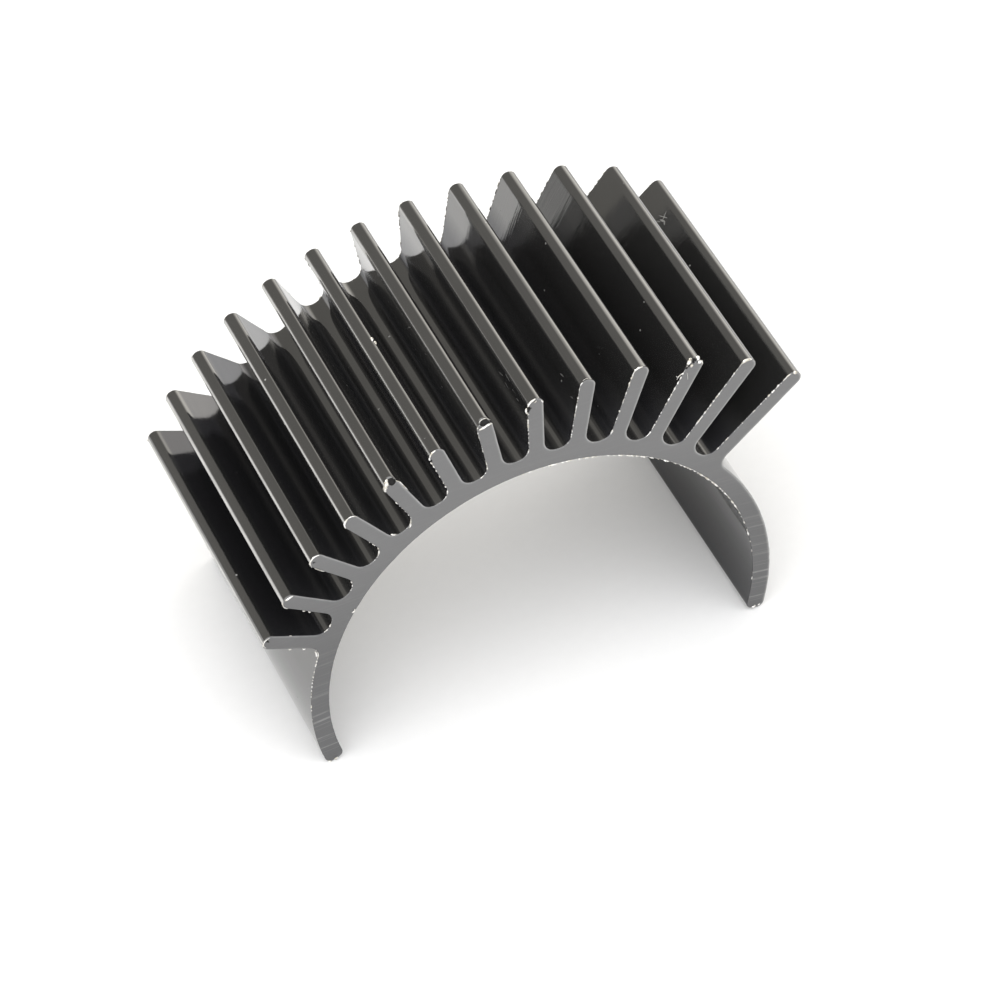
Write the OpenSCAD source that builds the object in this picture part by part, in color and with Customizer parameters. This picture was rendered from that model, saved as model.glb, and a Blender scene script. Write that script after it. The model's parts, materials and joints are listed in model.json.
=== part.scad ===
// Clip-on heat sink for a small electric motor.
// One length of an extruded aluminium section: a C-shaped spring clip that grips the motor's can,
// with a fan of radial fins that leans to one side and grows longer towards the other.
// Millimetres. The origin is on the motor's axis at mid-length, the axis runs along Y and Z is up.
// Angles are measured from the top of the section, positive towards +X.

/* [Motor seat] */
// Diameter of the motor can that the clip grips
bore_d = 36; // [26:0.5:46]
// Wall of the clip
wall = 1.5; // [1.2:0.1:2.4]
// Length of the extrusion along the motor
length = 25; // [10:1:60]
// Angle from the top of the clip to the end of each arm
arm_angle = 106.4; // [98:0.2:116]
// Corner radius at the ends of the arms, which are the feet
foot_r = 0.55; // [0.2:0.05:0.58]

/* [Fins] */
// Number of fins
fin_count = 13; // [5:1:15]
// Angle from one fin to the next
fin_pitch = 9.72; // [9:0.02:11]
// Angle of the middle of the fan, which leans towards -X
fan_lean = -7.88; // [-12:0.02:12]
// Thickness of a fin
fin_t = 1.3; // [0.8:0.05:1.6]
// Height of the short fins above the clip
fin_h = 5.1; // [2:0.02:12]
// Angle at which the row of tips leaves the short fins' circle
flare_from = -24; // [-60:0.5:60]
// Distance from the motor's axis to the centre of the flared row's arc
flare_offset = 8.3; // [0:0.1:12]
// Length by which the last fin on the +X side stays short of the row
end_fin_cut = 0.6; // [0:0.05:1.5]
// Radius in the corner between a fin and the clip
root_r = 1; // [0.3:0.05:1.5]
// Corner radius at the tip of a fin, which is almost a full round
tip_r = 0.6; // [0.1:0.05:0.7]

/* [Hidden] */
$fn = 96;
bore_r = bore_d / 2;
clip_r = bore_r + wall;
// Radius inside the clip's wall, where the fins start so that they merge with it
merge_r = bore_r + wall / 2;
short_tip_r = clip_r + fin_h;
// The root radius never exceeds the round that just fills the gap between two fins
gap_sine = sin(0.49 * fin_pitch);
full_round_r = (clip_r * gap_sine - fin_t / 2) / (1 - gap_sine);
root_fillet_r = min(root_r, full_round_r);
// The tip's corners never meet, so that a narrow flat stays between them
tip_corner_r = min(tip_r, 0.48 * fin_t);
// Length by which cutters overshoot the surface that they cut
overshoot = 1;
// Depth by which a corner's circle bites past the two faces that it blends, so that it crosses them cleanly
bite = 0.005;

// Angle of one fin, counted from the -X side
function fin_angle(i) = fan_lean + (i - (fin_count - 1) / 2) * fin_pitch;

// Distance from the motor's axis to the tips' envelope: a circle round the axis,
// then a larger arc that leaves it at a tangent
function tip_reach(a) =
    let (past = max(0, a - flare_from))
    sqrt(pow(short_tip_r + flare_offset, 2) - pow(flare_offset * sin(past), 2))
    - flare_offset * cos(past);

// Distance from the motor's axis to the tip of one fin
function fin_reach(i) = tip_reach(fin_angle(i)) - (i == fin_count - 1 ? end_fin_cut : 0);

// Turns a shape drawn along +Y of the section to an angle from the top
module at_angle(a) {
    rotate(-a) children();
}

// Rounds one corner of an arm's end, drawn with the end face along +Y and the arm on its -X side
module corner_cut(surface_r, side) {
    inset = foot_r - bite;
    centre_r = surface_r - side * inset;
    centre_y = sqrt(pow(centre_r, 2) - pow(inset, 2));
    outside_r = surface_r + side * overshoot;
    difference() {
        polygon([
            [-inset, centre_y],
            [overshoot, centre_y],
            [overshoot, outside_r],
            [-inset, centre_y] * outside_r / centre_r
        ]);
        translate([-inset, centre_y]) circle(foot_r);
    }
}

// Opening below the two arms
module mouth() {
    reach = 2 * clip_r;
    side_x = reach * sin(arm_angle);
    side_y = reach * cos(arm_angle);
    polygon([[0, 0], [side_x, side_y], [side_x, -reach], [-side_x, -reach], [-side_x, side_y]]);
}

// The C-shaped clip
module clip() {
    difference() {
        circle(clip_r);
        circle(bore_r);
        mouth();
        for (flip = [0, 1]) mirror([flip, 0]) at_angle(arm_angle) {
            corner_cut(clip_r, 1);
            corner_cut(bore_r, -1);
        }
    }
}

// Fillet between the +X side of a fin that points along +Y and the clip
module root_fillet() {
    centre_r = clip_r + root_fillet_r - bite;
    centre_x = fin_t / 2 + root_fillet_r - bite;
    centre_y = sqrt(pow(centre_r, 2) - pow(centre_x, 2));
    difference() {
        polygon([
            [0, merge_r],
            [centre_x, centre_y] * merge_r / centre_r,
            [centre_x, centre_y],
            [0, centre_y]
        ]);
        translate([centre_x, centre_y]) circle(root_fillet_r);
    }
}

// One fin along +Y: a parallel blade with rounded tip corners and filleted roots
module fin(reach) {
    shoulder = reach - tip_corner_r;
    translate([-fin_t / 2, merge_r]) square([fin_t, shoulder - merge_r]);
    translate([tip_corner_r - fin_t / 2, merge_r]) square([fin_t - 2 * tip_corner_r, reach - merge_r]);
    for (side = [-1, 1])
        translate([side * (fin_t / 2 - tip_corner_r + bite), shoulder + bite]) circle(tip_corner_r);
    for (flip = [0, 1]) mirror([flip, 0]) root_fillet();
}

// The whole section, seen along +Y
module section() {
    clip();
    for (i = [0 : fin_count - 1]) at_angle(fin_angle(i)) fin(fin_reach(i));
}

// The heat sink: one sawn length of the section
module heat_sink() {
    color([0.30, 0.30, 0.31]) rotate([90, 0, 0]) linear_extrude(length, center = true) section();
}

heat_sink();
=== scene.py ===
"""Clip-on motor heat sink: a sawn length of dark anodised aluminium extrusion on a pale floor."""
import json
import math

import bpy
from mathutils import Matrix, Vector, noise


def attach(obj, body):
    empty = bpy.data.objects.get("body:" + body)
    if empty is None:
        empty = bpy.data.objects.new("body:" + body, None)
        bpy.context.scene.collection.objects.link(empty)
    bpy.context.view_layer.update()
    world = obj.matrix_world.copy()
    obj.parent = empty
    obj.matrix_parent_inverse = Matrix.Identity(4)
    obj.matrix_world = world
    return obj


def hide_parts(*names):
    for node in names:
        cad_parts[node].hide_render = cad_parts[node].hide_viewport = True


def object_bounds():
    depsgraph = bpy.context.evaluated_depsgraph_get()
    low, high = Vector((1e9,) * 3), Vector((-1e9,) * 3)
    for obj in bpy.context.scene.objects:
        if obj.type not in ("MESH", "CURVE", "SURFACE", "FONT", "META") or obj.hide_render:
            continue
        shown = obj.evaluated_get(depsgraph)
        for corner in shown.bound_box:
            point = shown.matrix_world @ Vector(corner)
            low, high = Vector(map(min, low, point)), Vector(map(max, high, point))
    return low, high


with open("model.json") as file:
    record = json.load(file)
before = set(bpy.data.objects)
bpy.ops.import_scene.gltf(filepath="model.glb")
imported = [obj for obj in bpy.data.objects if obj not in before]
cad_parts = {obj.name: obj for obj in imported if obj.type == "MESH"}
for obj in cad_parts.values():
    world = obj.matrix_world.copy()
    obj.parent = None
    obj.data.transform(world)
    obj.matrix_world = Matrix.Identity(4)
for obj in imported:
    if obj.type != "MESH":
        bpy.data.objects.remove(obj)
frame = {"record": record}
cad_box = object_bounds()
scene = bpy.context.scene

MM = 0.001
HALF_TURN = math.pi
QUARTER_TURN = math.pi / 2
THREE_QUARTERS = 1.5 * math.pi
seat = frame["record"]["mounts"][0]["dims"]

# Sizes of the extruded section, in metres and radians, the same as in the part's source
SECTION = {
    "Bore Radius": seat["r_mm"] * MM,
    "Wall": 1.5 * MM,
    "Arm Angle": math.radians(106.4),
    "Foot Radius": 0.55 * MM,
    "Fin Count": 13,
    "Fin Pitch": math.radians(9.72),
    "Fan Lean": math.radians(-7.88),
    "Fin Thickness": 1.3 * MM,
    "Fin Height": 5.1 * MM,
    "Flare From": math.radians(-24.0),
    "Flare Offset": 8.3 * MM,
    "End Fin Cut": 0.6 * MM,
    "Root Radius": 1.0 * MM,
    "Tip Radius": 0.6 * MM,
}
LENGTH = seat["length_mm"] * MM

# Mesh steps along each piece of the outline, for half a fin and for half of the clip
FLOOR_STEPS = 1
FILLET_STEPS = 12
SIDE_STEPS = 30
CORNER_STEPS = 10
FLAT_STEPS = 2
ARM_STEPS = 80
FOOT_STEPS = 8
FOOT_FACE_STEPS = 3
BORE_STEPS = 160
HALF_FIN_STEPS = FLOOR_STEPS + FILLET_STEPS + SIDE_STEPS + CORNER_STEPS + FLAT_STEPS
HALF_CLIP_STEPS = ARM_STEPS + 2 * FOOT_STEPS + FOOT_FACE_STEPS + BORE_STEPS

# Mesh rows from the middle of an end face, over its edge, to the middle of the length
FACE_ROWS = 5
EDGE_ROWS = 3
SIDE_ROWS = 15
HALF_ROWS = FACE_ROWS + EDGE_ROWS + SIDE_ROWS

# Points closer than this are one point
MERGE_DISTANCE = 0.0005 * MM

# Sides of a burr's beads, and sides and steps of the larger torn strings
BEAD_SIDES = 6
CHIP_SIDES = 7
CHIP_STEPS = 4


class Wire:
    """An output of a node. Sums, differences, products and quotients of wires become math nodes."""

    def __init__(self, tree, socket):
        self.tree = tree
        self.socket = socket

    def __add__(self, other):
        return maths(self.tree, "ADD", self, other)

    def __radd__(self, other):
        return maths(self.tree, "ADD", other, self)

    def __sub__(self, other):
        return maths(self.tree, "SUBTRACT", self, other)

    def __rsub__(self, other):
        return maths(self.tree, "SUBTRACT", other, self)

    def __mul__(self, other):
        return maths(self.tree, "MULTIPLY", self, other)

    def __rmul__(self, other):
        return maths(self.tree, "MULTIPLY", other, self)

    def __truediv__(self, other):
        return maths(self.tree, "DIVIDE", self, other)

    def __pow__(self, other):
        return maths(self.tree, "POWER", self, other)

    def output(self, name):
        """Another output of the same node."""
        return Wire(self.tree, self.socket.node.outputs[name])


def add(tree, kind, inputs=None, output=0, **settings):
    """Adds a node, sets it, feeds its inputs by name or number, and gives back one of its outputs."""
    node = tree.nodes.new(kind)
    for name, setting in settings.items():
        setattr(node, name, setting)
    for key, value in (inputs or {}).items():
        feed(tree, value, node.inputs[key])
    return Wire(tree, node.outputs[output])


def feed(tree, value, socket):
    """Joins a wire to a socket, or sets the socket to a plain value."""
    if isinstance(value, Wire):
        tree.links.new(value.socket, socket)
    else:
        socket.default_value = value


def maths(tree, operation, *values, clamp=False):
    return add(tree, "ShaderNodeMath", dict(enumerate(values)), operation=operation, use_clamp=clamp)


def sine(angle):
    """The sine of a wire or of a plain number."""
    return maths(angle.tree, "SINE", angle) if isinstance(angle, Wire) else math.sin(angle)


def cosine(angle):
    """The cosine of a wire or of a plain number."""
    return maths(angle.tree, "COSINE", angle) if isinstance(angle, Wire) else math.cos(angle)


def root(value):
    return maths(value.tree, "SQRT", value)


def limited(value):
    """The value, held between 0 and 1."""
    return maths(value.tree, "ADD", value, 0.0, clamp=True)


def vector(tree, x, y, z):
    return add(tree, "ShaderNodeCombineXYZ", {0: x, 1: y, 2: z})


def parts_of(value):
    """The three numbers of a vector."""
    split = add(value.tree, "ShaderNodeSeparateXYZ", {0: value})
    return split, split.output("Y"), split.output("Z")


def vector_maths(tree, operation, first, second=None, scale=None):
    """A node that works on whole vectors. Lengths, distances and dot products come out as a number."""
    inputs = {0: first}
    if second is not None:
        inputs[1] = second
    if scale is not None:
        inputs["Scale"] = scale
    output = "Value" if operation in ("LENGTH", "DISTANCE", "DOT_PRODUCT") else 0
    return add(tree, "ShaderNodeVectorMath", inputs, output, operation=operation)


def compared(first, operation, second):
    """Whether two numbers compare as asked."""
    return add(first.tree, "FunctionNodeCompare", {
        0: first, 1: second}, data_type="FLOAT", operation=operation)


def lumps(place, seed, scale, detail, roughness=0.5):
    """Random lumps in space, which change with the seed."""
    return add(place.tree, "ShaderNodeTexNoise", {
        "Vector": place, "W": seed, "Scale": scale, "Detail": detail,
        "Roughness": roughness}, noise_dimensions="4D")


def lines(distance, scale, detail, roughness):
    """Random lines that lie across a distance."""
    return add(distance.tree, "ShaderNodeTexNoise", {
        "W": distance, "Scale": scale, "Detail": detail, "Roughness": roughness}, noise_dimensions="1D")


def ranged(value, low, high, to_low, to_high):
    """The value mapped from one range to another, and held inside it."""
    return add(value.tree, "ShaderNodeMapRange", {
        0: value, 1: low, 2: high, 3: to_low, 4: to_high}, clamp=True)


def eased(value, low, high):
    """0 up to one value, 1 from another on, with a soft rise between them."""
    return add(value.tree, "ShaderNodeMapRange", {
        0: value, 1: low, 2: high, 3: 0.0, 4: 1.0}, interpolation_type="SMOOTHSTEP", clamp=True)


# Geometry trees

SOCKET_KINDS = {int: "NodeSocketInt", float: "NodeSocketFloat", bpy.types.Material: "NodeSocketMaterial"}


def new_tree(name, values):
    """Starts a geometry tree with a named input for each value, and gives it back with its input wires."""
    tree = bpy.data.node_groups.new(name, "GeometryNodeTree")
    tree.interface.new_socket("Geometry", in_out="OUTPUT", socket_type="NodeSocketGeometry")
    for label, value in values.items():
        tree.interface.new_socket(label, in_out="INPUT", socket_type=SOCKET_KINDS[type(value)])
    entry = tree.nodes.new("NodeGroupInput")
    return tree, {label: Wire(tree, entry.outputs[label]) for label in values}


def end_tree(tree, geometry):
    feed(tree, geometry, tree.nodes.new("NodeGroupOutput").inputs[0])


def shape(name, tree, values):
    """Runs a geometry tree, its inputs set by identifier, and keeps the result as a plain mesh piece."""
    piece = bpy.data.objects.new(name, bpy.data.meshes.new(name))
    scene.collection.objects.link(piece)
    modifier = piece.modifiers.new("Shape", "NODES")
    modifier.node_group = tree
    for item in tree.interface.items_tree:
        if item.in_out == "INPUT":
            modifier[item.identifier] = values[item.name]
    made = bpy.data.meshes.new_from_object(piece.evaluated_get(bpy.context.evaluated_depsgraph_get()))
    piece.modifiers.clear()
    piece.data = made
    return piece


class Path:
    """A line in the section's plane, drawn piece by piece as a step counter passes along it.
    Angles are measured from +Z towards +X."""

    def __init__(self, step, x, z):
        self.step = step
        self.x = x
        self.z = z
        self.done = 0

    def share(self, steps):
        """How much of the next piece has been drawn, from 0 to 1."""
        share = limited((self.step - self.done) / steps)
        self.done += steps
        return share

    def arc(self, steps, radius, begin, end):
        share = self.share(steps)
        angle = begin + share * (end - begin)
        self.x = self.x + radius * (sine(angle) - sine(begin))
        self.z = self.z + radius * (cosine(angle) - cosine(begin))
        return share

    def line(self, steps, along_x, along_z):
        share = self.share(steps)
        self.x = self.x + share * along_x
        self.z = self.z + share * along_z


def fin_path(size, step, reach):
    """Half of a fin that points along +Z, from the middle of the gap on its +X side to the middle of its
    tip, and how far round the tip's corner the line has come."""
    clip_radius = size["Bore Radius"] + size["Wall"]
    half_pitch = size["Fin Pitch"] * 0.5
    half_fin = size["Fin Thickness"] * 0.5
    root_radius = size["Root Radius"]
    tip_radius = size["Tip Radius"]
    fillet_x = half_fin + root_radius
    fillet_reach = clip_radius + root_radius
    fillet_angle = maths(step.tree, "ARCSINE", fillet_x / fillet_reach)
    fillet_z = root(fillet_reach * fillet_reach - fillet_x * fillet_x)
    path = Path(step, clip_radius * sine(half_pitch), clip_radius * cosine(half_pitch))
    path.arc(FLOOR_STEPS, clip_radius, half_pitch, fillet_angle)
    path.arc(FILLET_STEPS, root_radius, fillet_angle + HALF_TURN, THREE_QUARTERS)
    path.line(SIDE_STEPS, 0.0, reach - tip_radius - fillet_z)
    corner = path.arc(CORNER_STEPS, tip_radius, QUARTER_TURN, 0.0)
    path.line(FLAT_STEPS, tip_radius - half_fin, 0.0)
    return path, corner


def clip_path(size, step, arm_start):
    """Half of the clip: down the outside of an arm, round its foot and up the bore to the top."""
    bore_radius = size["Bore Radius"]
    clip_radius = bore_radius + size["Wall"]
    foot_radius = size["Foot Radius"]
    arm_angle = size["Arm Angle"]
    outer_reach = clip_radius - foot_radius
    inner_reach = bore_radius + foot_radius
    outer_angle = arm_angle - maths(step.tree, "ARCSINE", foot_radius / outer_reach)
    inner_angle = arm_angle - maths(step.tree, "ARCSINE", foot_radius / inner_reach)
    foot_square = foot_radius * foot_radius
    face = root(outer_reach * outer_reach - foot_square) - root(inner_reach * inner_reach - foot_square)
    end_normal = arm_angle + QUARTER_TURN
    path = Path(step, clip_radius * sine(arm_start), clip_radius * cosine(arm_start))
    path.arc(ARM_STEPS, clip_radius, arm_start, outer_angle)
    path.arc(FOOT_STEPS, foot_radius, outer_angle, end_normal)
    path.line(FOOT_FACE_STEPS, face * sine(arm_angle) * -1.0, face * cosine(arm_angle) * -1.0)
    path.arc(FOOT_STEPS, foot_radius, end_normal, inner_angle + HALF_TURN)
    path.arc(BORE_STEPS, bore_radius, inner_angle, 0.0)
    return path


def section_tree():
    """The closed outline of the section: over the fins from -X to +X, then back along the clip."""
    tree, size = new_tree("Section outline", SECTION)
    index = add(tree, "GeometryNodeInputIndex")
    fin_steps = 2 * HALF_FIN_STEPS
    fan_steps = size["Fin Count"] * fin_steps
    points = fan_steps + 2 * HALF_CLIP_STEPS

    fin = maths(tree, "FLOOR", index / fin_steps)
    fin_angle = size["Fan Lean"] + (fin - (size["Fin Count"] - 1) * 0.5) * size["Fin Pitch"]
    past = maths(tree, "MAXIMUM", fin_angle - size["Flare From"], 0.0)
    arc_radius = size["Bore Radius"] + size["Wall"] + size["Fin Height"] + size["Flare Offset"]
    sideways = size["Flare Offset"] * sine(past)
    reach = root(arc_radius * arc_radius - sideways * sideways) - size["Flare Offset"] * cosine(past)
    at_end = maths(tree, "COMPARE", fin, size["Fin Count"] - 1, 0.5)
    reach = reach - size["End Fin Cut"] * at_end
    from_tip = index - fin * fin_steps - HALF_FIN_STEPS
    half_fin, corner = fin_path(size, HALF_FIN_STEPS - maths(tree, "ABSOLUTE", from_tip), reach)
    fin_side = maths(tree, "SIGN", from_tip)
    fin_point = vector(tree, half_fin.x * fin_side, 0.0, half_fin.z)
    turned = add(tree, "ShaderNodeVectorRotate", {
        "Vector": fin_point, "Angle": fin_angle}, rotation_type="Y_AXIS")

    from_top = index - fan_steps - HALF_CLIP_STEPS
    side = maths(tree, "SIGN", from_top) * -1.0
    arm_start = size["Fin Count"] * size["Fin Pitch"] * 0.5 + side * size["Fan Lean"]
    half_clip = clip_path(size, HALF_CLIP_STEPS - maths(tree, "ABSOLUTE", from_top), arm_start)
    clip_point = vector(tree, half_clip.x * side, 0.0, half_clip.z)

    on_fan = compared(index, "LESS_THAN", fan_steps)
    place = add(tree, "GeometryNodeSwitch", {0: on_fan, 1: clip_point, 2: turned}, input_type="VECTOR")
    line = add(tree, "GeometryNodeMeshLine", {"Count": points})

    # The tips are rubbed on their -X side, most of all on the short fins. The rest of a fin is its wall.
    on_tip = limited(corner * 8.0)
    wear = on_tip * limited(fin_side * -1.0) * ranged(fin, 5.0, 10.0, 1.0, 0.0) * on_fan
    line = store(line, "worn", wear)
    line = store(line, "wall", (1.0 - on_tip) * on_fan)
    drawn = add(tree, "GeometryNodeSetPosition", {0: line, "Position": place})
    curve = add(tree, "GeometryNodeMeshToCurve", {0: drawn})
    end_tree(tree, add(tree, "GeometryNodeSetSplineCyclic", {0: curve, "Cyclic": True}))
    return tree


def sampled(curve, kind, field, index):
    """A field of the outline's points, read at an index."""
    return add(curve.tree, "GeometryNodeSampleIndex", {0: curve, 1: field, 2: index}, data_type=kind)


def named(tree, label):
    """A number that a geometry carries under a name."""
    return add(tree, "GeometryNodeInputNamedAttribute", {"Name": label}, data_type="FLOAT")


def store(geometry, label, value):
    """Keeps a number under a name on each point of a geometry."""
    return add(geometry.tree, "GeometryNodeStoreNamedAttribute", {
        0: geometry, "Name": label, "Value": value}, data_type="FLOAT")


def saw_exit(across_x, across_z, position, bore_radius):
    """How much the saw tore an edge: most on the -X side, where its teeth came out, and round the bore,
    and least on the arms."""
    facing = 0.95 * across_z + 0.3 * across_x
    from_axis = vector_maths(position.tree, "LENGTH", position)
    at_bore = limited((bore_radius + 0.4 * MM - from_axis) / (0.2 * MM))
    sideways, unused, height = parts_of(position)
    torn = maths(position.tree, "MAXIMUM", limited(0.4 + 0.6 * facing),
                 at_bore * ranged(sideways, -2.0 * MM, 3.0 * MM, 0.7, 1.25))
    return maths(position.tree, "MINIMUM", torn, ranged(height, 0.0, 11.0 * MM, 0.72, 1.25))


def extrusion_tree(section, values):
    """The section swept along Y, with broken edges at its two sawn ends."""
    tree, size = new_tree("Sawn extrusion", values)
    outline = add(tree, "GeometryNodeGroup", {label: size[label] for label in SECTION}, node_tree=section)
    columns = size["Fin Count"] * (2 * HALF_FIN_STEPS) + 2 * HALF_CLIP_STEPS
    rows = 2 * HALF_ROWS
    grid = add(tree, "GeometryNodeMeshGrid", {
        "Size X": columns, "Size Y": rows, "Vertices X": columns + 1, "Vertices Y": rows + 1})
    grid_x, grid_y, unused = parts_of(add(tree, "GeometryNodeInputPosition"))
    column = maths(tree, "ROUND", grid_x + columns * 0.5)
    column = maths(tree, "MODULO", column, columns)
    row = maths(tree, "ROUND", grid_y)
    end = maths(tree, "SIGN", row)
    climb = HALF_ROWS - maths(tree, "ABSOLUTE", row)

    # Where the column crosses the outline, and the way from there into the metal
    position = sampled(outline, "FLOAT_VECTOR", add(tree, "GeometryNodeInputPosition"), column)
    across_x, unused, across_z = parts_of(sampled(
        outline, "FLOAT_VECTOR", add(tree, "GeometryNodeInputTangent"), column))
    inward = vector(tree, across_z, 0.0, across_x * -1.0)
    run = sampled(outline, "FLOAT", add(tree, "GeometryNodeSplineParameter", output="Length"), column)
    rubbed_side = limited((across_z * 0.94 + across_x * 0.342 - 0.94) / 0.045)
    worn = sampled(outline, "FLOAT", named(tree, "worn"), column) * rubbed_side

    # The edge: its break varies along the outline and differs from end to end
    edge_noise = lumps(position, end * 3.7 + size["Seed"], 1400.0, 3.0, 0.65)
    edge = size["Edge Break"] * (0.3 + 1.4 * edge_noise)
    on_face = limited(climb / FACE_ROWS)
    on_edge = limited((climb - FACE_ROWS) / EDGE_ROWS) * QUARTER_TURN
    on_side = limited((climb - (FACE_ROWS + EDGE_ROWS)) / SIDE_ROWS)
    inset = edge + (size["Face Inset"] - edge) * (1.0 - on_face) ** 1.6 - edge * sine(on_edge)
    depth = edge * (1.0 - cosine(on_edge)) + (size["Length"] * 0.5 - edge) * on_side ** 2.8

    # The skin: fine lines from the die, and a burr that swells just behind the sawn edge
    die_noise = lines(run, 3500.0, 3.0, 0.8)
    on_skin = limited((climb - FACE_ROWS) / EDGE_ROWS)
    lift = size["Die Line Depth"] * (die_noise - 0.5) * 2.0 * on_skin
    burr_noise = lumps(position, end * 5.1 + size["Seed"], 900.0, 4.0, 0.7)
    behind_edge = maths(tree, "EXPONENT", depth / size["Burr Reach"] * -1.0)
    swell = size["Burr Height"] * limited((burr_noise - 0.5) * 5.0) * behind_edge * on_skin
    moved = vector_maths(tree, "SCALE", inward, scale=inset - lift - swell)
    placed = vector_maths(tree, "ADD", position, moved)
    along = vector(tree, 0.0, end * (size["Length"] * 0.5 - depth), 0.0)
    placed = vector_maths(tree, "ADD", placed, along)

    # What the finishes read: bare metal in patches on the broken edge, rubbed tips, the light roll of the
    # edges that the saw didn't tear, the fins' walls, and the end faces
    at_edge = limited((climb - (FACE_ROWS - 1)) * 0.5) * maths(tree, "EXPONENT", depth / (0.12 * MM) * -1.0)
    torn = saw_exit(across_x, across_z, position, size["Bore Radius"])
    bare = at_edge * torn * (0.55 + 0.9 * edge_noise)
    rolled = limited(on_face * 2.0 - 1.0) * limited(0.2 - 1.1 * torn + 0.8 * edge_noise) * (1.0 - on_skin)
    wall = sampled(outline, "FLOAT", named(tree, "wall"), column)
    marked = grid
    for label, value in (
            ("bare", bare), ("worn", worn), ("rolled", rolled), ("wall", wall),
            ("end_face", 1.0 - on_skin)):
        marked = store(marked, label, value)
    skin = add(tree, "GeometryNodeSetPosition", {0: marked, "Position": placed})

    # The inside of each end face
    inner = vector_maths(tree, "CROSS_PRODUCT", add(tree, "GeometryNodeInputTangent"), (0.0, 1.0, 0.0))
    inner = vector_maths(tree, "SCALE", inner, scale=size["Face Inset"] * -1.0)
    rim = add(tree, "GeometryNodeSetPosition", {0: outline, "Offset": inner})
    flat = add(tree, "GeometryNodeTransform", {0: rim, "Rotation": (-QUARTER_TURN, 0.0, 0.0)})
    filled = add(tree, "GeometryNodeFillCurve", {0: flat})
    upright = add(tree, "GeometryNodeTransform", {0: filled, "Rotation": (QUARTER_TURN, 0.0, 0.0)})
    upright = store(upright, "end_face", 1.0)
    half_length = vector(tree, 0.0, size["Length"] * 0.5, 0.0)
    far = add(tree, "GeometryNodeTransform", {0: upright, "Translation": half_length})
    far = add(tree, "GeometryNodeFlipFaces", {0: far})
    near_shift = vector(tree, 0.0, size["Length"] * -0.5, 0.0)
    near = add(tree, "GeometryNodeTransform", {0: upright, "Translation": near_shift})

    joined = tree.nodes.new("GeometryNodeJoinGeometry")
    for geometry in (skin, far, near):
        feed(tree, geometry, joined.inputs[0])
    whole = add(tree, "GeometryNodeMergeByDistance", {
        0: Wire(tree, joined.outputs[0]), "Distance": MERGE_DISTANCE})
    whole = add(tree, "GeometryNodeSetShadeSmooth", {0: whole})
    whole = add(tree, "GeometryNodeRealizeInstances", {0: whole})
    whole = add(tree, "GeometryNodeSetMaterial", {0: whole, "Material": size["Skin"]})
    on_end = compared(named(tree, "end_face"), "GREATER_THAN", 0.7)
    whole = add(tree, "GeometryNodeSetMaterial", {
        0: whole, "Selection": on_end, "Material": size["Sawn End"]})
    end_tree(tree, whole)
    return tree


def burr_tree(section, values):
    """Ragged strings of bare metal along the sawn edges, where the saw tore them."""
    tree, size = new_tree("Saw burrs", values)
    outline = add(tree, "GeometryNodeGroup", {label: size[label] for label in SECTION}, node_tree=section)
    fine = add(tree, "GeometryNodeResampleCurve", {0: outline, "Length": size["Bead Step"]}, mode="LENGTH")
    position = add(tree, "GeometryNodeInputPosition")
    across_x, unused, across_z = parts_of(add(tree, "GeometryNodeInputTangent"))
    torn = saw_exit(across_x, across_z, position, size["Bore Radius"])
    joined = tree.nodes.new("GeometryNodeJoinGeometry")
    for end, shift in ((-1.0, 0.0), (1.0, 7.3)):
        stretch = lumps(position, size["Seed"] + shift, 420.0, 2.0)
        bead = lumps(position, size["Seed"] - shift, 3200.0, 2.0)
        stretch = limited((torn * 1.1 + stretch * 0.9 - 1.22) * 3.0)
        bead = limited((bead - 0.62 + torn * 0.15) * 6.5)
        marked = store(fine, "burr", stretch * bead)
        moved = add(tree, "GeometryNodeSetPosition", {
            0: marked, "Offset": vector(tree, 0.0, size["Length"] * (0.5 * end), 0.0)})
        feed(tree, moved, joined.inputs[0])
    line = add(tree, "GeometryNodeCurveToMesh", {0: Wire(tree, joined.outputs[0])})
    low = compared(named(tree, "burr"), "LESS_THAN", 0.12)
    line = add(tree, "GeometryNodeDeleteGeometry", {0: line, "Selection": low}, domain="POINT")
    strings = add(tree, "GeometryNodeMeshToCurve", {0: line})
    round_bead = add(tree, "GeometryNodeCurvePrimitiveCircle", {
        "Resolution": BEAD_SIDES, "Radius": size["Bead Radius"]})
    solid = add(tree, "GeometryNodeCurveToMesh", {
        0: strings, 1: round_bead, "Scale": named(tree, "burr") ** 0.7, "Fill Caps": True})
    jitter = add(tree, "ShaderNodeTexNoise", {
        "Vector": position, "Scale": 9000.0, "Detail": 2.0}, output="Color")
    jitter = vector_maths(tree, "SUBTRACT", jitter, (0.5, 0.5, 0.5))
    jitter = vector_maths(tree, "SCALE", jitter, scale=size["Bead Radius"] * 0.9)
    solid = add(tree, "GeometryNodeSetPosition", {0: solid, "Offset": jitter})
    solid = add(tree, "GeometryNodeSetShadeSmooth", {0: solid})
    solid = add(tree, "GeometryNodeRealizeInstances", {0: solid})
    end_tree(tree, add(tree, "GeometryNodeSetMaterial", {0: solid, "Material": size["Bare Burr"]}))
    return tree


# Finishes

def new_finish(name):
    """Starts a material and gives back its tree and its shader."""
    material = bpy.data.materials.new(name)
    material.use_nodes = True
    tree = material.node_tree
    return material, tree, tree.nodes["Principled BSDF"]


def object_coords(tree, scale=(1.0, 1.0, 1.0)):
    """Places on the piece, in metres, stretched for a pattern."""
    coords = add(tree, "ShaderNodeTexCoord", output="Object")
    return add(tree, "ShaderNodeMapping", {"Vector": coords, "Scale": scale})


def grain(tree, coords, scale, detail=3.0, roughness=0.5):
    return add(tree, "ShaderNodeTexNoise", {
        "Vector": coords, "Scale": scale, "Detail": detail, "Roughness": roughness})


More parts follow.
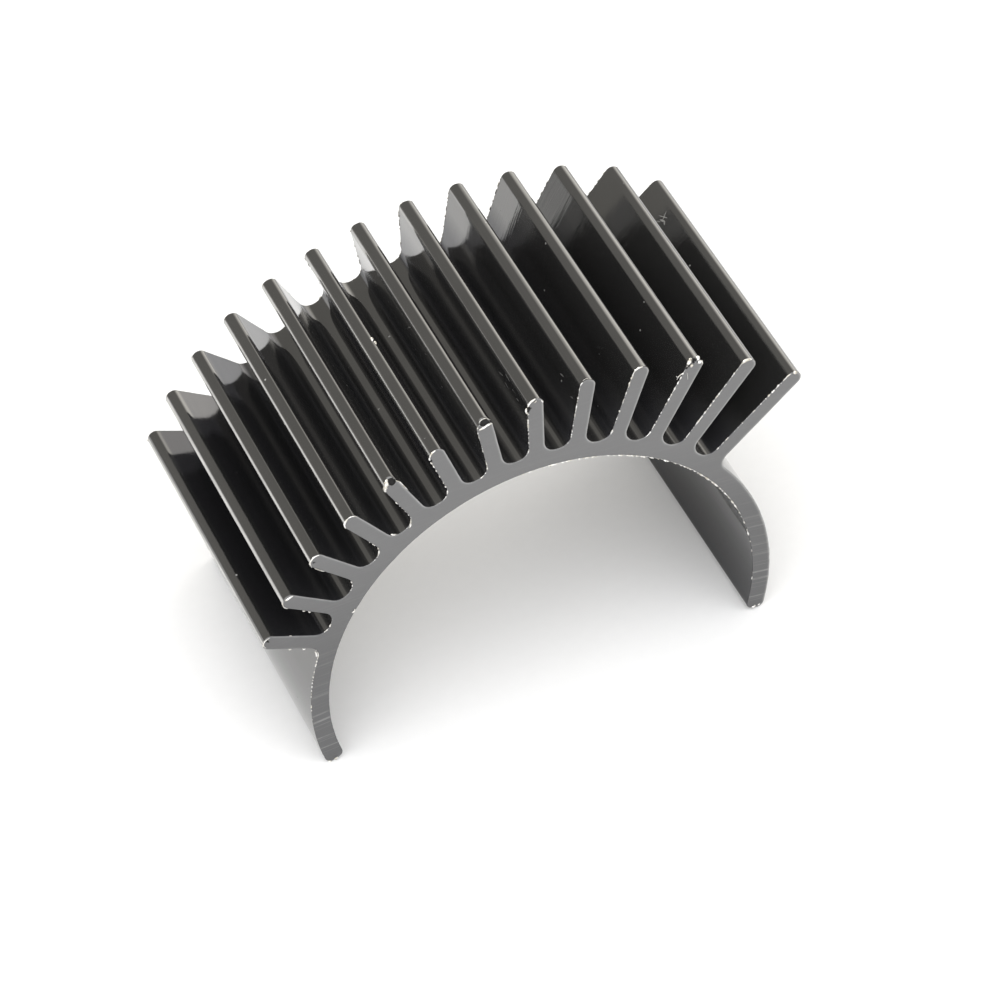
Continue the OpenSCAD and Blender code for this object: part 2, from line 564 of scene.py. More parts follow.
def mixed(tree, share, first, second):
    """A colour between two colours."""
    node = tree.nodes.new("ShaderNodeMix")
    node.data_type = "RGBA"
    for value, socket in ((share, node.inputs[0]), (first, node.inputs[6]), (second, node.inputs[7])):
        feed(tree, value, socket)
    return Wire(tree, node.outputs[2])


def blended(tree, share, first, second):
    """A number between two numbers."""
    return add(tree, "ShaderNodeMix", {0: share, 2: first, 3: second}, data_type="FLOAT")


def raised(tree, height, distance, strength=1.0, below=None):
    """The surface tilted by a height, in metres, on top of another tilt."""
    inputs = {"Height": height, "Distance": distance, "Strength": strength}
    if below is not None:
        inputs["Normal"] = below
    return add(tree, "ShaderNodeBump", inputs)


def painted(tree, label):
    """A number that the piece's own mesh carries."""
    return add(tree, "ShaderNodeAttribute", output="Fac", attribute_name=label)


# Colours of the anodic film: its clouds, its die lines, painted shade low in the gaps and in the bore, pale
# marks
FILM_DARK = (0.162, 0.161, 0.159, 1.0)
FILM_PALE = (0.186, 0.185, 0.182, 1.0)
FILM_LINES = (0.140, 0.139, 0.137, 1.0)
FILM_PAINTED_GAP_SHADE = (0.058, 0.058, 0.065, 1.0)
FILM_PAINTED_BORE_SHADE = (0.066, 0.066, 0.068, 1.0)
FILM_MARKS = (0.36, 0.36, 0.35, 1.0)

# Colours of the sawn ends: fan and arms, each dark and pale, fan paler by painted light; saw lines, rolled
# edges
LIT_FAN_DARK = (0.174, 0.174, 0.176, 1.0)
LIT_FAN_PALE = (0.212, 0.212, 0.213, 1.0)
SHADED_ARM_DARK = (0.139, 0.139, 0.141, 1.0)
SHADED_ARM_PALE = (0.166, 0.166, 0.167, 1.0)
SAW_LINES = (0.23, 0.23, 0.225, 1.0)
DEEP_SAW_LINES = (0.34, 0.34, 0.335, 1.0)
ROLLED_EDGE = (0.50, 0.50, 0.49, 1.0)

# Colours of torn metal, of the pits with their painted shade, and of the floor with its painted falloff
BARE_ALUMINIUM = (0.84, 0.83, 0.80, 1.0)
BURR_DULL = (0.52, 0.49, 0.42, 1.0)
BURR_BRIGHT = (0.90, 0.89, 0.87, 1.0)
PIT_SHADE_DARK = (0.006, 0.006, 0.006, 1.0)
PIT_SHADE_PALE = (0.028, 0.027, 0.026, 1.0)
FLOOR_DARK = (0.84, 0.84, 0.84, 1.0)
FLOOR_PALE = (0.87, 0.87, 0.87, 1.0)
FLOOR_PAINTED_FALLOFF = (0.42, 0.42, 0.42, 1.0)

# Centre of the round saw blade that cut the ends
BLADE_CENTRE = (-0.0075, 0.0, -0.17)


def scratch(tree, place, begin, end, width):
    """1 on a straight scratch that thins towards its ends, 0 beside it."""
    along = end - begin
    from_begin = vector_maths(tree, "SUBTRACT", place, begin)
    share = limited(vector_maths(tree, "DOT_PRODUCT", from_begin, along / along.length_squared))
    nearest = vector_maths(tree, "SCALE", along, scale=share)
    distance = vector_maths(tree, "DISTANCE", from_begin, nearest)
    return limited(1.6 - distance / (width * (0.2 + 4.0 * share * (1.0 - share))))


def torn_edge(tree, place):
    """Bare metal along the sawn edges, broken into beads."""
    return limited((painted(tree, "bare") * 1.2 + grain(tree, place, 6500.0, 2.0, 0.6) * 1.4 - 1.72) * 4.0)


def anodised_skin():
    """Extruded faces: a dark glossy anodic film with lengthwise lines from the die, with painted shade that
    darkens it low in the gaps and in the bore, rubbed through on the tips' corners, torn off along the sawn
    edges, and marked by a few scratches and pale specks."""
    material, tree, shader = new_finish("anodised_skin")
    lengthwise = object_coords(tree, (1.0, 0.006, 1.0))
    fine_lines = grain(tree, lengthwise, 4200.0, 4.0, 0.75)
    broad_lines = grain(tree, lengthwise, 900.0, 3.0, 0.6)
    everywhere = object_coords(tree)
    cloud = grain(tree, everywhere, 260.0, 3.0, 0.55)
    patches = grain(tree, object_coords(tree, (1.0, 0.2, 1.0)), 1500.0, 4.0, 0.7)
    dots = add(tree, "ShaderNodeTexVoronoi", {"Vector": everywhere, "Scale": 430.0})
    speck = ranged(dots, 0.02, 0.045, 1.0, 0.0)
    torn = torn_edge(tree, everywhere)
    rubbed = painted(tree, "worn") * ranged(patches, 0.3, 0.7, 0.25, 0.55)
    bare = maths(tree, "MAXIMUM", torn, rubbed)
    uneven = ranged(patches, 0.38, 0.62, 0.08, 0.6)
    marks = speck
    for begin, end, width in SCRATCHES:
        scratched = scratch(tree, everywhere, begin, end, width) * uneven
        marks = maths(tree, "MAXIMUM", marks, scratched)

    # Painted shade: darker colour and less metal in the bore and low in the gaps, on the -X side almost up
    # to the tips
    around = object_coords(tree, (1.0, 0.0, 1.0))
    from_axis = vector_maths(tree, "LENGTH", around)
    above_bore = from_axis - SECTION["Bore Radius"]
    above_clip = above_bore - SECTION["Wall"]
    above_floor = ranged(above_clip, 0.22 * MM, 0.45 * MM, 0.0, 0.85)
    below_tip = ranged(above_clip, 4.25 * MM, 4.55 * MM, 1.0, 0.0)
    sideways, unused_y, unused_z = parts_of(around)
    low_wall = ranged(above_clip, 2.0 * MM, 4.2 * MM, 1.0, 0.0)
    to_right = ranged(sideways, -14.0 * MM, -8.0 * MM, 0.0, 1.0)
    painted_gap_shade = above_floor * blended(tree, to_right, below_tip, low_wall)
    painted_bore_shade = ranged(above_bore, 0.1 * MM, 0.3 * MM, 1.0, 0.0)

    film = mixed(tree, cloud, FILM_DARK, FILM_PALE)
    film = mixed(tree, broad_lines * 0.25, film, FILM_LINES)
    film = mixed(tree, painted_gap_shade, film, FILM_PAINTED_GAP_SHADE)
    film = mixed(tree, painted_bore_shade, film, FILM_PAINTED_BORE_SHADE)
    colour = mixed(tree, bare, film, BARE_ALUMINIUM)
    feed(tree, mixed(tree, marks, colour, FILM_MARKS), shader.inputs["Base Color"])
    # Less metal where the painted shade lies, so the gaps and the bore stay dark
    feed(tree, (1.0 - marks) * (0.92 - painted_gap_shade * (0.11 + 0.13 * to_right)), shader.inputs["Metallic"])
    smooth = ranged(cloud, 0.3, 0.7, 0.065, 0.10)
    near_floor = above_floor * ranged(above_clip, 1.2 * MM, 3.2 * MM, 1.0, 0.0)
    smooth = smooth + near_floor * 0.14
    smooth = blended(tree, bare, smooth, 0.34)
    feed(tree, blended(tree, marks, smooth, 0.7), shader.inputs["Roughness"])
    tilt = raised(tree, fine_lines, 0.002 * MM)
    tilt = raised(tree, broad_lines, 0.004 * MM, 1.0, tilt)
    ripple = grain(tree, object_coords(tree, (0.04, 1.0, 0.04)), 3200.0, 3.0, 0.7) - 0.5
    ripple = ripple * painted(tree, "wall") * ranged(sideways, 0.0, 10.0 * MM, 0.15, 1.0)
    feed(tree, raised(tree, ripple, 0.014 * MM, 1.0, tilt), shader.inputs["Normal"])
    return material


def sawn_end():
    """Sawn faces: mid-grey metal with the arcs that a round saw blade leaves, clearest on the arms, and
    painted light that makes the fan paler than the arms.
    """
    material, tree, shader = new_finish("sawn_end")
    everywhere = object_coords(tree)
    wander = grain(tree, everywhere, 130.0, 2.0)
    blade = vector_maths(tree, "DISTANCE", everywhere, BLADE_CENTRE) + wander * (0.5 * MM)
    arcs = lines(blade, 4500.0, 4.0, 0.75)
    teeth = lines(blade, 2600.0, 2.0, 0.6)
    cloud = grain(tree, everywhere, 700.0, 4.0, 0.65)
    bare = torn_edge(tree, everywhere)
    unused_x, unused_y, height = parts_of(everywhere)
    # Painted light and shade: the fan's colour is paler than the arms', blended by height
    fan = mixed(tree, cloud, LIT_FAN_DARK, LIT_FAN_PALE)
    arms = mixed(tree, cloud, SHADED_ARM_DARK, SHADED_ARM_PALE)
    colour = mixed(tree, ranged(height, 6.0 * MM, 16.0 * MM, 0.0, 1.0), arms, fan)
    colour = mixed(tree, ranged(arcs, 0.55, 0.75, 0.0, 0.35), colour, SAW_LINES)
    deep = ranged(teeth, 0.60, 0.68, 0.0, 0.55) * ranged(height, -1.0 * MM, 8.0 * MM, 1.0, 0.1)
    deep = deep * ranged(cloud, 0.35, 0.6, 0.3, 1.0)
    colour = mixed(tree, deep, colour, DEEP_SAW_LINES)
    colour = mixed(tree, painted(tree, "rolled"), colour, ROLLED_EDGE)
    colour = mixed(tree, bare, colour, BARE_ALUMINIUM)
    feed(tree, colour, shader.inputs["Base Color"])
    shader.inputs["Metallic"].default_value = 1.0
    feed(tree, ranged(cloud, 0.3, 0.7, 0.44, 0.56), shader.inputs["Roughness"])
    tilt = raised(tree, arcs, 0.008 * MM)
    feed(tree, raised(tree, cloud, 0.004 * MM, 1.0, tilt), shader.inputs["Normal"])
    return material


def shaded_rough_pit():
    """The inside of pits: rough, with dark oxide and painted shade, almost black."""
    material, tree, shader = new_finish("shaded_rough_pit")
    crumbs = grain(tree, object_coords(tree), 9000.0, 3.0, 0.6)
    feed(tree, mixed(tree, crumbs, PIT_SHADE_DARK, PIT_SHADE_PALE), shader.inputs["Base Color"])
    feed(tree, ranged(crumbs, 0.3, 0.7, 0.55, 0.8), shader.inputs["Roughness"])
    shader.inputs["Specular IOR Level"].default_value = 0.2
    feed(tree, raised(tree, crumbs, 0.02 * MM), shader.inputs["Normal"])
    return material


def bare_burr():
    """Torn bare metal: bright, with duller and slightly yellow spots."""
    material, tree, shader = new_finish("bare_burr")
    spots = grain(tree, object_coords(tree), 2600.0, 3.0, 0.6)
    crumbs = grain(tree, object_coords(tree), 12000.0, 3.0)
    colour = mixed(tree, ranged(spots, 0.35, 0.6, 0.0, 1.0), BURR_DULL, BURR_BRIGHT)
    feed(tree, colour, shader.inputs["Base Color"])
    shader.inputs["Metallic"].default_value = 1.0
    feed(tree, ranged(spots, 0.3, 0.7, 0.42, 0.26), shader.inputs["Roughness"])
    feed(tree, raised(tree, crumbs, 0.012 * MM), shader.inputs["Normal"])
    return material


def pale_floor():
    """Matt white sheet under the heat sink, turned greyer far away from it by painted shade where the light
    falls off.
    """
    material, tree, shader = new_finish("pale_floor")
    fibre = grain(tree, object_coords(tree), 900.0, 4.0, 0.6)
    from_middle = vector_maths(tree, "LENGTH", object_coords(tree))
    white = mixed(tree, fibre, FLOOR_DARK, FLOOR_PALE)
    # Painted shade: the floor greys away from the heat sink, as the light falls off
    white = mixed(tree, ranged(from_middle, 0.15, 0.34, 0.0, 1.0), white, FLOOR_PAINTED_FALLOFF)
    feed(tree, white, shader.inputs["Base Color"])
    feed(tree, ranged(fibre, 0.3, 0.7, 0.75, 0.9), shader.inputs["Roughness"])
    shader.inputs["Specular IOR Level"].default_value = 0.1
    feed(tree, raised(tree, fibre, 0.01 * MM, 0.4), shader.inputs["Normal"])
    return material


# Places on the fins and the arms, for the marks that the real one carries

def fin_axis(number):
    """Angle of a fin, counted from 1 on the -X side, and the distance of its tip from the motor's axis."""
    angle = SECTION["Fan Lean"] + (number - (SECTION["Fin Count"] + 1) / 2) * SECTION["Fin Pitch"]
    past = max(0.0, angle - SECTION["Flare From"])
    offset = SECTION["Flare Offset"]
    arc_radius = SECTION["Bore Radius"] + SECTION["Wall"] + SECTION["Fin Height"] + offset
    reach = math.sqrt(arc_radius ** 2 - (offset * math.sin(past)) ** 2) - offset * math.cos(past)
    if number == SECTION["Fin Count"]:
        reach -= SECTION["End Fin Cut"]
    return angle, reach


def fin_way(number, out, across, back):
    """A way along a fin: out towards its tip, across it towards +X, and back from the near end."""
    angle, unused = fin_axis(number)
    return Vector((
        math.sin(angle) * out + math.cos(angle) * across, back,
        math.cos(angle) * out - math.sin(angle) * across))


def on_fin(number, below, across, back=0.0):
    """A place on a fin, in mm below its tip, across from its middle plane and back from the near end."""
    unused, reach = fin_axis(number)
    return fin_way(number, reach - below * MM, across * MM, back * MM - LENGTH / 2)


def on_foot(side, above, across, back=0.0):
    """A place on an arm, in mm above its end, across from the middle of its wall and back from the near
    end."""
    angle = SECTION["Arm Angle"]
    from_axis = SECTION["Bore Radius"] + SECTION["Wall"] / 2 + across * MM
    return Vector((
        side * (math.sin(angle) * from_axis - math.cos(angle) * above * MM), back * MM - LENGTH / 2,
        math.cos(angle) * from_axis + math.sin(angle) * above * MM))


# Scratches on the sides of fins: fin, side, mm below the tip and back from the near end, at both ends of
# the scratch, and its width
SIDE_MARKS = (
    (13, -1, 1.70, 21.2, 0.96, 21.6, 0.04),
    (13, -1, 1.44, 21.5, 1.20, 21.0, 0.03),
    (13, -1, 1.78, 21.5, 1.52, 20.9, 0.07),
    (13, -1, 1.52, 21.1, 1.74, 20.7, 0.04),
    (13, -1, 1.40, 21.4, 1.66, 21.9, 0.03),
    (13, -1, 1.86, 21.3, 2.12, 21.7, 0.05),
    (8, -1, 1.25, 4.6, 1.55, 5.5, 0.05),
    (8, -1, 0.75, 3.3, 0.62, 4.2, 0.05),
    (8, -1, 1.05, 2.2, 1.20, 2.9, 0.05),
    (8, -1, 1.35, 1.6, 1.45, 2.1, 0.04),
    (8, -1, 1.75, 3.6, 1.62, 4.3, 0.04),
    (7, -1, 1.38, 6.2, 1.52, 6.9, 0.05),
    (7, -1, 1.36, 10.2, 1.42, 10.5, 0.07),
    (7, -1, 1.30, 10.7, 1.55, 11.2, 0.05),
    (9, -1, 1.62, 2.6, 1.78, 3.2, 0.04),
    (9, -1, 2.20, 0.7, 2.32, 1.1, 0.05),
)
half_fin = SECTION["Fin Thickness"] / 2 / MM
SCRATCHES = [
    (on_fin(fin, below, side * half_fin, back),
     on_fin(fin, end_below, side * half_fin, end_back), width * MM)
    for fin, side, below, back, end_below, end_back, width in SIDE_MARKS]

# Pits in the near end's edges: fin, mm below the tip, across and back, radii out, across and back, and the
# way in
PITS = (
    (1, 0.30, 0.14, 0.00, 0.10, 0.12, 0.10, (-0.3, 0.0, 1.0)),
    (3, 0.40, -0.22, 0.00, 0.08, 0.09, 0.06, (-0.2, 0.0, 1.0)),
    (5, 0.12, 0.24, 0.06, 0.36, 0.29, 0.30, (-0.8, 0.0, 0.6)),
    (6, 0.72, -0.62, 0.00, 0.12, 0.13, 0.14, (0.0, 0.7, 0.7)),
    (7, 0.06, 0.13, 0.05, 0.30, 0.40, 0.30, (-0.9, 0.0, 0.4)),
    (8, 0.86, -0.58, 0.00, 0.22, 0.20, 0.22, (0.0, 0.7, 0.7)),
    (11, 0.18, -0.28, 0.00, 0.24, 0.15, 0.22, (-0.4, 0.0, 0.9)),
    (11, 0.74, -0.58, 0.00, 0.16, 0.16, 0.18, (0.0, 0.7, 0.7)),
)

# Strings of torn metal at the near end: fin, thickness in mm, and places below the tip, across and back
CHIPS = (
    (1, 0.07, (
        (0.40, -0.52, 0.0), (0.12, -0.30, 0.0), (0.03, -0.02, 0.0), (0.10, 0.22, 0.0), (0.34, 0.50, 0.0))),
    (1, 0.10, ((2.35, -0.66, 0.0), (2.45, -0.70, -0.02), (2.58, -0.66, 0.0))),
    (1, 0.11, ((3.55, -0.66, 0.0), (3.66, -0.71, -0.02), (3.80, -0.66, 0.0))),
    (1, 0.12, ((4.72, -0.98, 0.0), (4.92, -1.25, -0.03), (5.00, -1.50, 0.0))),
    (1, 0.06, ((2.00, 0.65, 0.0), (2.10, 0.68, 0.0), (2.22, 0.65, 0.0))),
    (2, 0.17, ((0.10, 0.02, 0.0), (0.20, 0.22, -0.04), (0.34, 0.40, -0.03), (0.55, 0.56, 0.0))),
    (2, 0.07, ((0.75, -0.65, 0.0), (0.34, -0.58, 0.0), (0.08, -0.32, 0.0))),
    (2, 0.09, ((2.10, -0.66, 0.0), (2.20, -0.69, 0.0), (2.32, -0.66, 0.0))),
    (2, 0.10, ((2.62, -0.66, 0.0), (2.72, -0.70, -0.02), (2.84, -0.66, 0.0))),
    (3, 0.11, (
        (0.42, -0.60, 0.0), (0.16, -0.40, 0.0), (0.04, -0.10, 0.0), (0.10, 0.28, 0.0), (0.36, 0.56, 0.0))),
    (3, 0.07, ((0.80, -0.66, 0.0), (1.30, -0.67, 0.0), (1.80, -0.66, 0.0))),
    (4, 0.16, ((0.60, -0.65, 0.0), (0.26, -0.52, -0.02), (0.06, -0.26, -0.02), (0.00, 0.10, 0.0))),
    (4, 0.07, ((0.00, 0.10, 0.0), (0.14, 0.40, 0.0), (0.50, 0.64, 0.0))),
    (4, 0.15, ((4.40, 0.78, 0.0), (4.62, 0.86, -0.03), (4.82, 1.02, 0.0))),
    (5, 0.34, (
        (0.56, -0.62, 0.00), (0.24, -0.52, -0.04), (0.02, -0.28, -0.02),
        (-0.04, -0.06, 0.18), (-0.02, 0.06, 0.34))),
    (5, 0.12, ((0.62, 0.64, 0.0), (0.70, 0.68, -0.02), (0.82, 0.64, 0.0))),
    (5, 0.08, ((0.28, 0.52, 0.0), (0.60, 0.66, 0.0), (1.20, 0.67, 0.0), (1.90, 0.66, 0.0))),
    (5, 0.12, ((5.02, -1.00, 0.0), (5.16, -1.16, -0.02), (5.24, -1.34, 0.0))),
    (6, 0.14, ((0.56, -0.64, 0.0), (0.26, -0.52, -0.02), (0.06, -0.26, -0.02), (0.00, 0.08, 0.0))),
    (6, 0.09, ((0.84, -0.66, 0.0), (0.92, -0.70, -0.02), (1.02, -0.66, 0.0))),
    (6, 0.26, ((0.10, 0.40, 13.15), (0.14, 0.46, 13.35), (0.20, 0.50, 13.55))),
    (6, 0.20, ((0.22, 0.52, 12.75), (0.24, 0.54, 12.95), (0.28, 0.56, 13.15))),
    (7, 0.20, (
        (0.54, -0.50, 0.0), (0.46, -0.24, -0.03), (0.40, 0.10, -0.04),
        (0.36, 0.36, -0.03), (0.44, 0.62, 0.0))),
    (7, 0.05, (
        (0.16, -0.38, 0.10), (0.03, -0.22, 0.28), (0.00, 0.10, 0.36),
        (0.06, 0.38, 0.32), (0.24, 0.58, 0.20))),
    (8, 0.15, ((0.60, -0.62, 0.0), (0.28, -0.48, -0.02), (0.08, -0.22, -0.02), (0.00, 0.02, 0.0))),
    (8, 0.08, ((0.36, -0.08, -0.01), (0.28, 0.02, -0.02), (0.20, 0.10, -0.01))),
    (8, 0.12, ((0.34, 0.48, 0.0), (0.46, 0.57, -0.01), (0.60, 0.62, 0.0))),
    (8, 0.17, ((0.66, -0.72, 0.0), (0.86, -0.80, -0.02), (1.10, -0.74, -0.03), (1.40, -0.56, 0.0))),
    (9, 0.07, ((0.30, -0.55, 0.10), (0.08, -0.30, 0.16), (0.00, 0.04, 0.20))),
    (10, 0.12, ((0.80, -0.66, 0.0), (0.40, -0.60, 0.0), (0.12, -0.36, -0.02), (0.02, -0.06, 0.0))),
    (10, 0.13, ((0.98, -0.65, 0.0), (1.07, -0.70, -0.02), (1.20, -0.65, 0.0))),
    (10, 0.13, ((1.46, -0.65, 0.0), (1.58, -0.71, -0.02), (1.70, -0.65, 0.0))),
    (11, 0.30, ((0.62, -0.72, 0.00), (0.40, -0.64, 0.04), (0.16, -0.46, 0.24))),
    (11, 0.24, ((0.74, -0.36, 0.00), (0.62, -0.34, -0.05), (0.50, -0.28, 0.00))),
    (11, 0.30, ((0.10, -0.06, 0.02), (0.00, 0.06, 0.18), (0.02, 0.14, 0.36))),
    (11, 0.26, ((0.34, 0.14, 0.00), (0.20, 0.20, -0.05), (0.08, 0.30, 0.00))),
    (11, 0.12, ((0.06, 0.34, 0.0), (0.20, 0.46, -0.01), (0.42, 0.60, 0.0))),
    (11, 0.05, ((1.36, -0.62, 0.0), (1.52, -0.82, -0.05), (1.78, -0.98, -0.08), (2.06, -0.94, -0.06))),
    (11, 0.05, ((1.70, -0.92, -0.07), (1.76, -1.10, -0.10), (1.70, -1.22, -0.10))),
    (11, 0.03, ((1.32, -0.36, -0.003), (1.60, -0.14, -0.004), (1.94, 0.06, -0.003))),
    (12, 0.22, ((0.60, -0.65, 0.0), (0.34, -0.56, -0.02), (0.12, -0.36, -0.02), (0.02, -0.06, 0.0))),
    (12, 0.11, ((1.52, -0.65, 0.0), (1.62, -0.70, -0.02), (1.76, -0.65, 0.0))),
    (12, 0.11, ((3.86, -0.65, 0.0), (4.00, -0.70, -0.02), (4.12, -0.65, 0.0))),
    (13, 0.22, ((0.26, -0.46, 0.0), (0.14, -0.34, -0.03), (0.06, -0.20, 0.0))),
    (2, 0.12, ((6.40, -0.24, 0.0), (6.50, -0.05, -0.03), (6.46, 0.16, 0.0))),
    (13, 0.10, ((1.10, -0.65, 0.0), (0.74, -0.66, 0.0), (0.42, -0.58, 0.0))),
    (13, 0.12, ((1.66, -0.65, 0.0), (1.78, -0.70, -0.02), (1.92, -0.65, 0.0))),
)

# The same on the feet: side, thickness in mm, and places above the arm's end, across its wall and back
FOOT_CHIPS = (
    (-1, 0.18, ((0.24, 0.64, 0.0), (0.13, 0.54, -0.04), (0.05, 0.40, 0.0))),
    (-1, 0.18, ((0.07, 0.16, 0.0), (0.08, 0.00, -0.05), (0.07, -0.16, 0.0))),
    (1, 0.18, ((0.08, -0.26, 0.02), (0.12, -0.10, -0.04), (0.26, 0.06, -0.01))),
    (1, 0.08, ((0.20, 0.30, 0.0), (0.28, 0.38, -0.01), (0.36, 0.42, 0.0))),
)


def dig_pits(piece):
    """Presses pits into the near end's edges, rough inside, with dark oxide and painted shade."""
    mesh = piece.data
    bare = mesh.attributes["bare"].data
    mesh.materials.append(shaded_rough_pit())
    # Slot of the pits' finish: dark oxide and painted shade
    dark = len(mesh.materials) - 1
    near = [point for point in mesh.vertices if point.co.y < 1.0 * MM - LENGTH / 2]
    inside = set()
    for fin, below, across, back, out_radius, across_radius, back_radius, way in PITS:
        middle = on_fin(fin, below, across, back)
        axes = (fin_way(fin, 1.0, 0.0, 0.0), fin_way(fin, 0.0, 1.0, 0.0), fin_way(fin, 0.0, 0.0, 1.0))
        radii = (out_radius * MM, across_radius * MM, back_radius * MM)
        into = sum((axis * share for axis, share in zip(axes, way)), Vector())
        step = Vector(into.dot(axis) / radius for axis, radius in zip(axes, radii))
        for point in near:
            offset = point.co - middle
            if offset.length > max(radii):
                continue
            place = Vector(offset.dot(axis) / radius for axis, radius in zip(axes, radii))
            gap = 1.0 - place.length_squared
            if gap <= 0.0:
                continue
            lean = place.dot(step)
            travel = (math.sqrt(lean * lean + step.length_squared * gap) - lean) / step.length_squared
            point.co += into * travel
            bare[point.index].value = 0.0
            inside.add(point.index)
    for face in mesh.polygons:
        if 2 * len(inside.intersection(face.vertices)) >= len(face.vertices):
            face.material_index = dark


def smooth_line(places, steps):
    """Points on an even curve through a few places."""
    points = []
    for index in range(len(places) - 1):
        before = places[max(index - 1, 0)]
        here = places[index]
        there = places[index + 1]
        after = places[min(index + 2, len(places) - 1)]
        for step in range(steps):
            share = step / steps
            square = share * share
            cube = square * share
            points.append(0.5 * (
                2.0 * here + (there - before) * share
                + (2.0 * before - 5.0 * here + 4.0 * there - after) * square
                + (3.0 * here - before - 3.0 * there + after) * cube))
    points.append(places[-1])
    return points


def torn_string(points, thickness, corners, faces):
    """Adds a closed, lumpy string of metal that thins towards its two ends."""
    first = len(corners)
    last = len(points) - 1
    for index, point in enumerate(points):
        along = (points[min(index + 1, last)] - points[max(index - 1, 0)]).normalized()
        side = along.cross(Vector((0.0, 1.0, 0.0)))
        if side.length < 0.2:
            side = along.cross(Vector((0.0, 0.0, 1.0)))
        side.normalize()
        lift = side.cross(along)
        share = (index + 0.35) / (last + 0.7)
        radius = thickness / 2 * math.sin(HALF_TURN * share) ** 0.45
        for turn in range(CHIP_SIDES):
            angle = 2.0 * HALF_TURN * turn / CHIP_SIDES
            way = side * math.cos(angle) + lift * math.sin(angle)
            lump = 1.0 + 0.55 * noise.noise((point + way * radius) * (0.55 / thickness) * 4.0)
            corners.append(point + way * radius * lump)
    for ring in range(last):
        for turn in range(CHIP_SIDES):
            here = first + ring * CHIP_SIDES + turn
            beside = first + ring * CHIP_SIDES + (turn + 1) % CHIP_SIDES
            faces.append((here, beside, beside + CHIP_SIDES, here + CHIP_SIDES))
    faces.append(tuple(first + turn for turn in reversed(range(CHIP_SIDES))))
    top = first + last * CHIP_SIDES
    faces.append(tuple(top + turn for turn in range(CHIP_SIDES)))


def edge_chips(material):
    """The larger strings and lumps of torn metal at the near end, one by one."""
    corners = []
    faces = []
    for chips, placed in ((CHIPS, on_fin), (FOOT_CHIPS, on_foot)):
        for carrier, thickness, places in chips:
            line = smooth_line([placed(carrier, *place) for place in places], CHIP_STEPS)
            torn_string(line, thickness * MM, corners, faces)
    mesh = bpy.data.meshes.new("edge_chips")
    mesh.from_pydata(corners, [], faces)
    mesh.shade_smooth()
    mesh.materials.append(material)
    piece = bpy.data.objects.new("edge_chips", mesh)
    scene.collection.objects.link(piece)
    return piece


# The heat sink
torn_metal = bare_burr()
extrusion_sizes = {
    **SECTION,
    "Length": LENGTH,
    "Face Inset": 0.45 * MM,
    "Edge Break": 0.05 * MM,
    "Burr Height": 0.05 * MM,
    "Burr Reach": 0.12 * MM,
    "Die Line Depth": 0.0015 * MM,
    "Seed": 4.0,
    "Skin": anodised_skin(),
    "Sawn End": sawn_end(),
}
burr_sizes = {
    **SECTION,
    "Length": LENGTH,
    "Bead Step": 0.06 * MM,
    "Bead Radius": 0.078 * MM,
    "Seed": 2.0,
    "Bare Burr": torn_metal,
}
section = section_tree()
heat_sink = shape("heat_sink_body", extrusion_tree(section, extrusion_sizes), extrusion_sizes)
dig_pits(heat_sink)
saw_burrs = shape("saw_burrs", burr_tree(section, burr_sizes), burr_sizes)
for piece in (heat_sink, saw_burrs, edge_chips(torn_metal)):
    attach(piece, "root")
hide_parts("heat_sink")

# Floor
FLOOR_SIZE = 6.0
floor_level = min(cad_box[0][2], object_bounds()[0][2])
floor_mesh = bpy.data.meshes.new("floor")
half = FLOOR_SIZE / 2
floor_corners = [(x * half, y * half, floor_level) for x, y in ((-1, -1), (1, -1), (1, 1), (-1, 1))]
floor_mesh.from_pydata(floor_corners, [], [(0, 1, 2, 3)])
floor_mesh.materials.append(pale_floor())
floor = bpy.data.objects.new("floor", floor_mesh)
scene.collection.objects.link(floor)

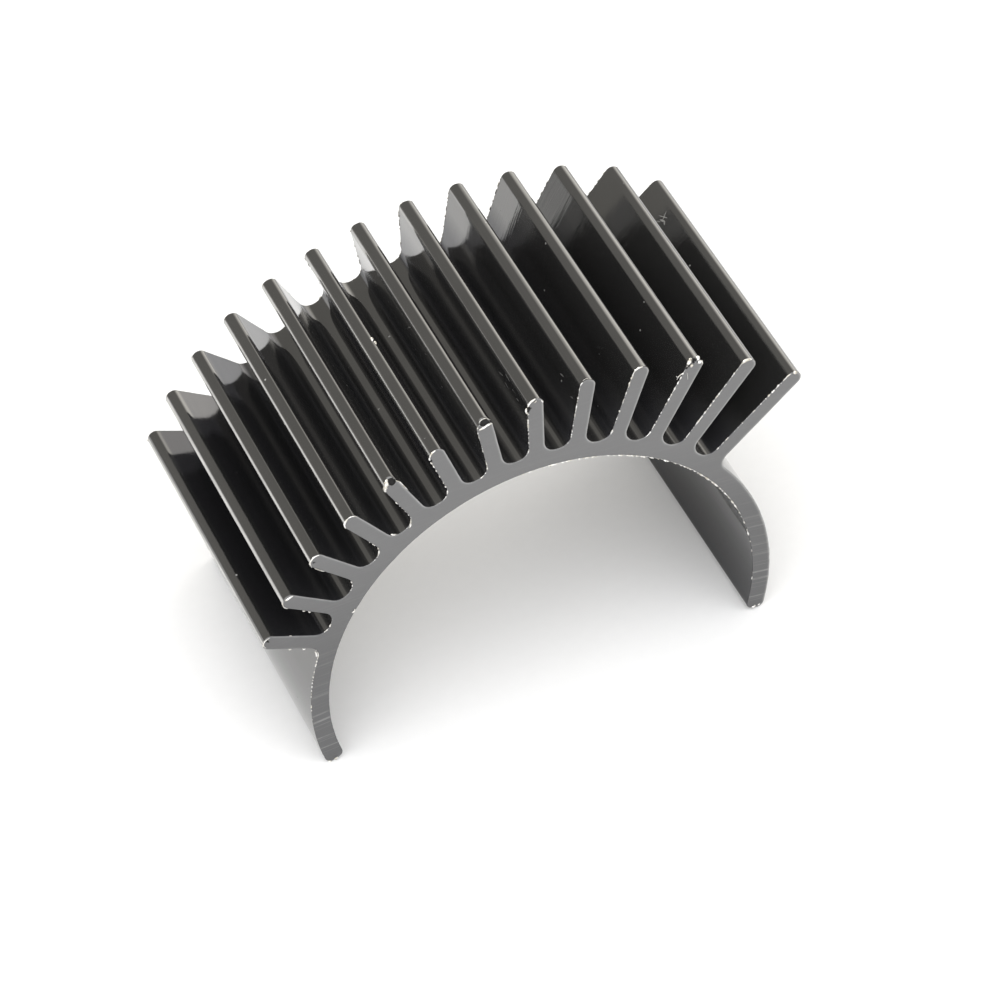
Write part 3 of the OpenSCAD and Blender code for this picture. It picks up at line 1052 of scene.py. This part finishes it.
# Light: a wide soft light in front and above, in a dim warm room that glows behind and on the right
ROOM_COLOUR = (1.0, 0.968, 0.90, 1.0)
LAMP_COLOUR = (0.985, 0.99, 1.0, 1.0)
ROOM_LIGHT = 0.42
LAMP_LIGHT = 1.65
RIGHT_LIGHT = 2.3
BACK_LIGHT = 4.2
world = bpy.data.worlds.new("studio")
scene.world = world
world.use_nodes = True
sky = world.node_tree
sideways, away, height = parts_of(add(sky, "ShaderNodeTexCoord", output="Generated"))
behind = eased(away, 0.78, 0.92)
lamp = eased(height * 0.6 - away * 0.73 - sideways * 0.33, 0.0, 0.6)
right_side = eased(sideways, 0.34, 0.8) * ranged(away, 0.2, 0.5, 0.0, 1.0)
strength = ROOM_LIGHT + LAMP_LIGHT * lamp + RIGHT_LIGHT * right_side + BACK_LIGHT * behind
background = sky.nodes["Background"]
feed(sky, mixed(sky, lamp, ROOM_COLOUR, LAMP_COLOUR), background.inputs["Color"])
feed(sky, strength, background.inputs["Strength"])
scene.view_settings.view_transform = "Standard"

# Camera, at the photo's angle
AZIMUTH = math.radians(-19.95)
ELEVATION = math.radians(44.82)
ROLL = math.radians(-4.96)
DISTANCE = 376.4 * MM
AIM = Vector((1.89 * MM, 0.0, 2.96 * MM))
FOCAL_LENGTH_MM = 170.84
SENSOR_WIDTH_MM = 36.0
level_reach = math.cos(ELEVATION)
back = Vector((math.sin(AZIMUTH) * level_reach, -math.cos(AZIMUTH) * level_reach, math.sin(ELEVATION)))
level_right = back.cross(Vector((0.0, 0.0, 1.0))).normalized() * -1.0
level_up = back.cross(level_right)
right = level_right * math.cos(ROLL) + level_up * math.sin(ROLL)
up = level_up * math.cos(ROLL) - level_right * math.sin(ROLL)
lens = bpy.data.cameras.new("camera")
lens.lens = FOCAL_LENGTH_MM
lens.sensor_width = SENSOR_WIDTH_MM
lens.clip_start = 0.01
lens.clip_end = 50.0
camera = bpy.data.objects.new("camera", lens)
camera.matrix_world = Matrix((
    (right.x, up.x, back.x, AIM.x + back.x * DISTANCE),
    (right.y, up.y, back.y, AIM.y + back.y * DISTANCE),
    (right.z, up.z, back.z, AIM.z + back.z * DISTANCE),
    (0.0, 0.0, 0.0, 1.0)))
scene.collection.objects.link(camera)
scene.camera = camera
